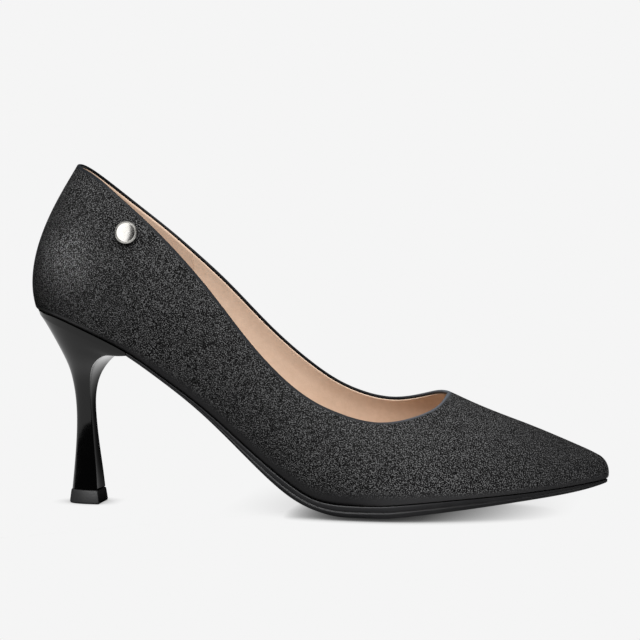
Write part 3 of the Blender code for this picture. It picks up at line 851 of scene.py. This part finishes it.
def tip_material():
    """Dark grey plastic, satin from wear."""
    n = Nodes("top_piece_plastic")
    fine = n.noise(1400.0, 3.0, 0.6)
    slow = n.noise(160.0, 3.0, 0.6)
    colour = n.mix(n.scaled(slow, 0.3, 0.7), rgb(0.040, 0.040, 0.041), rgb(0.052, 0.052, 0.053))
    rough = n.scaled(fine, 0.3, 0.7, 0.42, 0.56)
    n.shade(Base_Color=colour, Roughness=rough, Normal=n.bump(fine, 0.00006, 0.5))
    return n.data


def metal_material():
    """Polished plating with faint handling marks."""
    n = Nodes("plated_metal")
    fine = n.noise(2600.0, 3.0, 0.6)
    slow = n.noise(420.0, 2.0, 0.5)
    colour = n.mix(n.scaled(slow, 0.3, 0.7), rgb(0.83, 0.81, 0.76), rgb(0.89, 0.87, 0.83))
    rough = n.scaled(fine, 0.35, 0.75, 0.10, 0.19)
    n.shade(Base_Color=colour, Roughness=rough, Metallic=1.0, Normal=n.bump(slow, 0.0001, 0.06))
    return n.data


def floor_material():
    """An evenly glowing pale floor with a painted shadow, darker only where the shoe comes close to it."""
    n = Nodes("pale_floor")
    level = BACKDROP
    # painted shadow: the floor's glow is dimmed where ambient occlusion finds the shoe
    for reach, lean, depth, left, right, fade, gone in SHADOWS.rows:
        way = n.add("CombineXYZ", X=0.0, Y=-lean, Z=1.0).outputs[0]
        whole = {"samples": SHADOW_SAMPLES, "only_local": False}
        close = n.add("AmbientOcclusion", whole, Distance=reach * MM, Normal=way)
        along = n.add("SeparateXYZ", Vector=n.place()).outputs["X"]
        dark = n.math("MULTIPLY", n.math("SUBTRACT", 1.0, close.outputs["AO"]), depth)
        dark = n.math("MULTIPLY", dark, n.scaled(along, left, right), clamp=True)
        dark = n.math("MULTIPLY", dark, n.scaled(along, gone, fade), clamp=True)
        level = n.math("MULTIPLY", n.math("SUBTRACT", 1.0, dark), level)
    n.emit(level)
    n.shade(Specular_IOR_Level=0.0)
    return n.data


def card_material(name, level):
    n = Nodes(name)
    slow = n.noise(9.0, 2.0, 0.5)
    n.emit(n.scaled(slow, 0.3, 0.7, 0.97 * level, 1.03 * level))
    return n.data


def evened(vectors, turns=EDGE_TURNS):
    """Directions along a closed edge with their jumps taken out."""
    for _ in range(turns):
        vectors = (np.roll(vectors, 1, axis=0) + 2.0 * vectors + np.roll(vectors, -1, axis=0)) / 4.0
    return unit(vectors)


def leather_masks(outer, away, verts, shade):
    """Where the leather is grained and folded, and where light and shade are painted on it: a highlight along
    the heel seat, shade at the toe and on the fold's inner face, a highlight on the fold at the throat.
    """
    x = outer[:, 0]
    low = outer[:, 2] - FEATHER(np.clip(x, 0.0, BOTTOM["x"][-1]))
    bare = BARE_SEAT + (BARE_WAIST - BARE_SEAT) * ramp(x, *BARE_SEAT_X)
    bare = bare + (BARE_TOE - BARE_WAIST) * ramp(x, *BARE_X)
    start, full, hold, stop = SEAT_HIGHLIGHT_HEIGHTS
    plain = np.zeros(len(verts) - len(outer))
    rows = {
        "grain": (ramp(away, 0.0, GRAIN_FADE) * ramp(low, BARE_START * bare, bare), plain),
        "edge": (1.0 - ramp(away, 0.0, FOLD_FADE), plain + 1.0),
        "inner": (np.zeros(len(outer)), shade),
        # lip: where the painted highlight along the heel seat lies
        "lip": (ramp(low, start, full) * ramp(low, stop, hold) * ramp(x, *SEAT_HIGHLIGHT_X), plain),
        "calm": (TOE_SHADE_SHARE * ramp(x, *TOE_SHADE_X), plain),
    }
    masks = {name: np.concatenate(pair) for name, pair in rows.items()}
    # pale: where the painted highlight on the fold at the throat lies
    masks["pale"] = ramp(verts[:, 0], *THROAT_HIGHLIGHT_X)
    return masks


def build_upper():
    """Outer leather with its rolled topline, and what lines it."""
    shell = Shell()
    faces = shell.faces()
    roll = WALL / 2.0
    _, up = edge_frame(shell.verts, faces, shell.ring)
    depth = np.full((len(shell.ring), 1), roll - FOLD_RISE)
    outer = recess(shell.verts, shell.ring, up, depth, FOLD_REACH)
    normal, up = (evened(way) for way in edge_frame(outer, faces, shell.ring))
    top = outer[shell.ring]
    away = nearest_on_ring(outer, top)[0]
    rows = []
    shade = []
    for angle in np.linspace(0.0, math.pi, FOLD_ROWS + 1)[1:]:
        rows.append(top - normal * roll + roll * (normal * math.cos(angle) + up * math.sin(angle)))
        # painted shade over the fold's inner turn, full on the tuck below
        shade.append(np.full(len(top), ramp(angle / math.pi, *FOLD_SHADE)))
    band = Curve(FOLD_BAND["x"], FOLD_BAND["band"])(top[:, 0])[:, None]
    for drop in (0.5, 1.0):
        rows.append(top - normal * WALL - up * (band + FOLD_TUCK) * drop)
        shade.append(np.ones(len(top)))
    verts, all_faces = extended(outer, faces, shell.ring, rows)
    masks = leather_masks(outer, away, verts, np.concatenate(shade))
    new_piece("upper_leather", verts, all_faces, leather_material(), ("upper",), attributes=masks)

    normals = vertex_normals(outer, faces)
    proud = WALL + LINING_CLEAR + (LINING_LIP - LINING_CLEAR) * (1.0 - ramp(away, 0.0, LINING_EASE))
    inside = recess(outer, shell.ring, up, band + LINING_LIP, LINING_REACH) - normals * proud[:, None]
    centre = top - normal * (WALL + OVERLAP) - up * (band + LINING_LIP)
    lip = []
    for angle in np.linspace(0.0, math.pi / 2.0, LIP_ROWS + 1)[1:]:
        lip.append(centre + (LINING_LIP - OVERLAP) * (up * math.sin(angle) - normal * math.cos(angle)))
    build_lining(shell, inside, lip)
    build_grip(shell, inside, normals, up)


def build_lining(shell, inside, lip):
    """The lining inside the wall, with a rounded edge along the topline."""
    faces = shell.faces(shell.wall_row)
    used = np.unique(np.array(faces).ravel())
    renumber = np.full(len(inside), -1)
    renumber[used] = np.arange(len(used))
    faces = [tuple(renumber[list(face)]) for face in faces]
    verts, faces = extended(inside[used], faces, renumber[shell.ring], lip)
    lining = lining_material("lining_leather", LINING_LIGHT, LINING_DARK)
    new_piece("lining", verts, faces, lining)


def build_grip(shell, inside, normals, up):
    """The lining's separate heel piece, laid over the lining from one waist round to the other."""
    columns = []
    for grid, side in zip(shell.grids, SIDES):
        rear_x = side.x(side.stations(LATERAL)[0][:REAR_STATIONS])
        columns.append(grid[: int(np.searchsorted(rear_x, GRIP_END_X)) + 1, shell.wall_row :])
    order = np.concatenate((columns[0][::-1], columns[1][1:]))
    spots = inside[order] - normals[order] * GRIP_STEP
    rim = inside[order] + normals[order] * OVERLAP
    width, height = spots.shape[:2]
    number = np.arange(width * height).reshape(width, height)
    base = number.size
    faces = stacked(width, height, closed=False)
    faces += quads(np.arange(base, base + height), number[0])
    faces += quads(number[-1], np.arange(base + height, base + 2 * height))
    ring_place = {int(v): i for i, v in enumerate(shell.ring)}
    place = [ring_place[int(v)] for v in order[:, -1]]
    crest = spots[:, -1] + (inside[order[:, -1]] - spots[:, -1]) * GRIP_CREST
    crest = crest + up[place] * LINING_LIP * GRIP_TOP
    verts = np.concatenate((spots.reshape(-1, 3), rim[0], rim[-1], crest))
    faces += quads(number[:, -1], np.arange(len(verts) - width, len(verts)))
    grip = lining_material("heel_grip_leather", rgb(0.54, 0.40, 0.30), rgb(0.505, 0.365, 0.27))
    new_piece("lining_heel_piece", verts, faces, grip, sharp=GRIP_SHARP)


def build_sock():
    """The sock over the insole, its rim up against the lining."""
    tall = WALL + GAP + INSOLE_THICKNESS
    rims = []
    for side in SIDES:
        t = side.end * np.arange(SLAB_STATIONS + 1) / SLAB_STATIONS
        rise = bottom_height(side.x(t), tall)
        v = side.share_at_height(t, rise)
        rims.append(side.point(t, v) - side.normal(t, v) * (WALL + LINING_CLEAR + SOCK_CLEAR))
    across = np.linspace(0.0, 1.0, SOCK_ACROSS + 1)
    ease = (1.0 - np.cos(np.pi * across)) / 2.0
    rows = []
    for share in ease:
        row = rims[0] * (1.0 - share) + rims[1] * share
        cup = SOCK_CUP * abs(2.0 * share - 1.0) ** SOCK_BEND - SOCK_DROP
        row[:, 2] = bottom_height(np.clip(row[:, 0], 0.0, BOTTOM["x"][-1]), tall) + cup
        rows.append(row)
    skirt = np.array((0.0, 0.0, SOCK_SKIRT))
    rows = [rows[0] - skirt] + rows + [rows[-1] - skirt]
    faces = stacked(len(rows), SLAB_STATIONS + 1, closed=False)
    sock = lining_material("sock_leather", LINING_LIGHT, LINING_DARK)
    new_piece("insole_sock", np.concatenate(rows), faces, sock, ("insole",))


def build_outsole():
    """The sole: a thin welt, a groove, the side and the crowned tread."""
    rings = []
    masks = {"groove": [], "lift": [], "under": []}
    groove_top, groove_floor = GROOVE_DEPTHS
    for depth, share in SOLE_EDGE.rows:
        halves = []
        for side in SIDES:
            start = float(side.at_x(BREAST_X + GAP))
            t = start + (side.end - start) * np.arange(SLAB_STATIONS + 1) / SLAB_STATIONS
            reach = np.minimum(SOLE_DEPTH(side.x(t)), CROWN_SHARE * side.outward(t)[1])
            plan = side.inset(t, SOLE_INSET + share * reach)
            rim = bottom_height(plan[:, 0], -GAP)
            z = rim + (tread_height(plan[:, 0]) - rim) * depth
            halves.append(np.concatenate((plan, z[:, None]), -1))
        ring = np.concatenate((halves[0], halves[1][-2::-1]))
        rings.append(ring)
        masks["groove"].append(np.full(len(ring), float(depth == 0.0)))
        masks["lift"].append(ramp(ring[:, 0], *GROOVE_PAINTED_LIGHT_X) * float(groove_top < depth < groove_floor))
        masks["under"].append(np.full(len(ring), float(depth > TREAD_DEPTH)))
    size = len(rings[0])
    faces = stacked(len(rings), size)
    for base in (0, (len(rings) - 1) * size):
        lateral = base + np.arange(SLAB_STATIONS)
        medial = base + size - 1 - np.arange(SLAB_STATIONS)
        faces += quads(lateral, medial)
        faces.append((base + SLAB_STATIONS - 1, base + SLAB_STATIONS, base + SLAB_STATIONS + 1))
    masks = {name: np.concatenate(rows) for name, rows in masks.items()}
    new_piece("outsole_rubber", np.concatenate(rings), faces, sole_material(), ("outsole",),
              sharp=SHARP, attributes=masks)


def d_ring(back, back_z, breast, breast_z, half, hollow):
    """A level of the heel: square-cornered at the breast, round at the back."""
    power = 2.0 / HEEL_SQUARENESS
    angle = np.pi * np.arange(HEEL_ARC + 1) / HEEL_ARC
    turn = np.cos(angle)
    x = breast - (breast - back) * np.maximum(0.0, np.sin(angle)) ** power
    y = -half * np.copysign(np.abs(turn) ** power, turn)
    across = half * (1.0 - 2.0 * np.arange(1, HEEL_ACROSS) / HEEL_ACROSS)
    x = np.concatenate((x, breast - hollow * (1.0 - (across / half) ** 2)))
    y = np.concatenate((y, across))
    tilt = (back_z - breast_z) / (breast - back)
    return np.stack((x, y, breast_z + (breast - x) * tilt), -1)


def seat_ring(inset, away):
    """The top of the heel, under the upper."""
    turn = 2.0 * np.arange(HEEL_ARC + 1) / HEEL_ARC - 1.0
    plan = []
    for value in turn:
        side = LATERAL if value < 0.0 else MEDIAL
        plan.append(side.inset(np.array(float(side.at_x(BREAST_X)) * abs(value)), inset))
    plan = np.array(plan)
    share = np.arange(1, HEEL_ACROSS)[:, None] / HEEL_ACROSS
    plan = np.concatenate((plan, plan[-1] + (plan[0] - plan[-1]) * share))
    return np.concatenate((plan, bottom_height(plan[:, :1], -away)), -1)


def turned_block(name, rings, material, replaces, bevel):
    """A solid between heel levels with its breast edges eased."""
    size = len(rings[0])
    verts = np.concatenate(rings)
    faces = stacked(len(rings), size)
    for base in (0, (len(rings) - 1) * size):
        lateral = base + np.arange(HEEL_ARC // 2 + 1)
        medial = base + HEEL_ARC - np.arange(HEEL_ARC // 2 + 1)
        faces += [face for face in quads(lateral, medial) if len(set(face)) == 4]
        faces.append((lateral[-2], lateral[-1], medial[-2]))
        faces.append([lateral[0], medial[0]] + [base + k for k in range(HEEL_ARC + 1, size)])
    piece = new_piece(name, verts, faces, material, replaces)
    bm = bmesh.new()
    bm.from_mesh(piece.data)
    bm.verts.ensure_lookup_table()
    corner = {i * size + k for i in range(len(rings)) for k in (0, HEEL_ARC)}
    edges = [e for e in bm.edges if e.verts[0].index in corner and e.verts[1].index in corner
             and abs(e.verts[0].index - e.verts[1].index) == size]
    bmesh.ops.bevel(bm, geom=edges, offset=bevel * MM, segments=BEVEL_SEGMENTS, profile=0.5, affect="EDGES",
                    clamp_overlap=True)
    smoothed(bm, SHARP)
    bm.to_mesh(piece.data)
    bm.free()


def build_heel():
    """The lacquered block, from its seat down to the top piece."""
    level = np.arange(len(HEEL.rows))
    column = {name: Curve(level, HEEL[name]) for name in HEEL.column}
    rings = [seat_ring(SEAT_INSET + SEAT_EASE, GAP), seat_ring(SEAT_INSET, GAP + SEAT_DROP)]
    for at in np.linspace(0.0, level[-1], HEEL_LEVELS + 1):
        rings.append(d_ring(**{name: float(curve(at)) for name, curve in column.items()}))
    turned_block("heel_block", rings, lacquer_material(), ("heel",), HEEL_BEVEL)


def build_heel_tip():
    """The top piece that the heel stands on."""
    rings = [d_ring(back, z, breast, z, half, hollow) for z, back, breast, half, hollow in HEEL_TIP.rows]
    turned_block("heel_top_piece", rings, tip_material(), ("heel_tip",), TIP_BEVEL)


def build_stud():
    """A bare polished disc, square to the wall."""
    t = float(LATERAL.at_x(STUD_X))
    v = float(LATERAL.share_at_height(t, STUD_Z))
    spot = Vector(LATERAL.point(t, v))
    normal = Vector(LATERAL.normal(t, v))
    turn = Matrix.Translation(spot + normal * GAP) @ normal.to_track_quat("Z", "Y").to_matrix().to_4x4()
    angle = 2.0 * np.pi * np.arange(STUD_SIDES) / STUD_SIDES
    rings = [np.stack((r * np.cos(angle), r * np.sin(angle), np.full(STUD_SIDES, h)), -1)
             for r, h in STUD.rows]
    verts = np.concatenate(rings + [np.array(((0.0, 0.0, STUD_CROWN),))])
    verts = np.array([turn @ Vector(p) for p in verts])
    faces = stacked(len(rings), STUD_SIDES)
    faces.append(list(range(STUD_SIDES)))
    base = (len(rings) - 1) * STUD_SIDES
    for k in range(STUD_SIDES):
        faces.append((base + k, base + (k + 1) % STUD_SIDES, base + STUD_SIDES))
    new_piece("stud_disc", verts, faces, metal_material(), ("stud",), sharp=STUD_SHARP)


def link_light(light, lit):
    """Let a light reach only the pieces that are named."""
    receivers = bpy.data.collections.new(light.name + "_receivers")
    for piece in lit.split():
        receivers.objects.link(bpy.data.objects[piece])
    light.light_linking.receiver_collection = receivers


def build_plane(name, left, front, right, back, height, material):
    mesh = bpy.data.meshes.new(name)
    corners = [(left, front, height), (right, front, height), (right, back, height), (left, back, height)]
    mesh.from_pydata(corners, [], [(0, 1, 2, 3)])
    plane = new_object(name, mesh)
    mesh.materials.append(material)
    return plane


def build_floor():
    """The floor that is seen, and the cards that light the shoe from below."""
    floor = build_plane("floor", -FLOOR_SIZE, -FLOOR_SIZE, FLOOR_SIZE, FLOOR_SIZE, 0.0, floor_material())
    floor.visible_diffuse = False
    floor.visible_glossy = False
    for name, left, front, right, back, level, mirror, lit in CARDS.rows:
        card = build_plane(name, left, front, right, back, -CARD_DEPTH, card_material(name, level))
        card.visible_camera = False
        card.visible_shadow = False
        card.visible_diffuse = not mirror
        card.visible_glossy = mirror
        link_light(card, lit)


def build_world():
    """A high soft dome over a dark room; the camera sees a plain pale backdrop."""
    n = Nodes("studio", "worlds")
    n.tree.nodes.clear()
    way = n.add("SeparateXYZ", Vector=n.add("TexCoord").outputs["Generated"]).outputs
    dome = n.add("ValToRGB", Fac=way["Z"])
    stops = dome.color_ramp.elements
    while len(stops) < len(DOME.rows):
        stops.new(0.5)
    for stop, (height, level) in zip(stops, DOME.rows):
        stop.position = height
        stop.color = rgb(level, level, level)
    low = n.math("POWER", n.scaled(way["Z"], *GLOW_LOW), GLOW_BEND)
    glow = n.math("MULTIPLY", n.math("MULTIPLY", low, n.scaled(way["Y"], *GLOW_BEHIND)), GLOW_LEVEL)
    room = n.add("Background", Color=n.math("ADD", glow, dome.outputs["Color"]))
    plain = n.add("Background", Color=rgb(BACKDROP, BACKDROP, BACKDROP))
    seen = n.add("LightPath").outputs["Is Camera Ray"]
    pick = n.add("MixShader", **{"0": seen, "1": room.outputs[0], "2": plain.outputs[0]})
    n.add("OutputWorld", Surface=pick.outputs[0])
    bpy.context.scene.world = n.data


def build_light(name, x, y, z, aim, width, height, spread, power, gloss_only, lit):
    """A soft box that lights only the pieces that are named."""
    data = bpy.data.lights.new(name, "AREA")
    data.shape = "RECTANGLE"
    data.size = width
    data.size_y = height
    data.spread = math.radians(spread)
    data.energy = power
    light = new_object(name, data)
    light.location = (x, y, z)
    light.rotation_euler = (Vector(aim) - light.location).to_track_quat("-Z", "Y").to_euler()
    link_light(light, lit)
    light.visible_diffuse = not gloss_only


def build_camera():
    """The photograph's view of the shoe."""
    a = math.radians(AZIMUTH)
    e = math.radians(ELEVATION)
    back = Vector((math.sin(a) * math.cos(e), -math.cos(a) * math.cos(e), math.sin(e)))
    data = bpy.data.cameras.new("camera")
    data.sensor_width = SENSOR
    data.sensor_fit = "HORIZONTAL"
    data.lens = PIXELS_PER_MM * DISTANCE / FRAME_PIXELS * SENSOR
    data.clip_start, data.clip_end = CLIP
    camera = new_object("camera", data)
    aim = Vector(placed([AIM])[0])
    camera.location = aim + back * DISTANCE * MM
    camera.rotation_euler = (-back).to_track_quat("-Z", "Y").to_euler()
    bpy.context.scene.camera = camera


build_camera()
build_upper()
build_sock()
build_outsole()
build_heel()
build_heel_tip()
build_stud()
build_floor()
build_world()
for row in LIGHTS.rows:
    build_light(*row)
view = bpy.context.scene.view_settings
view.view_transform = "Standard"
view.look = "None"
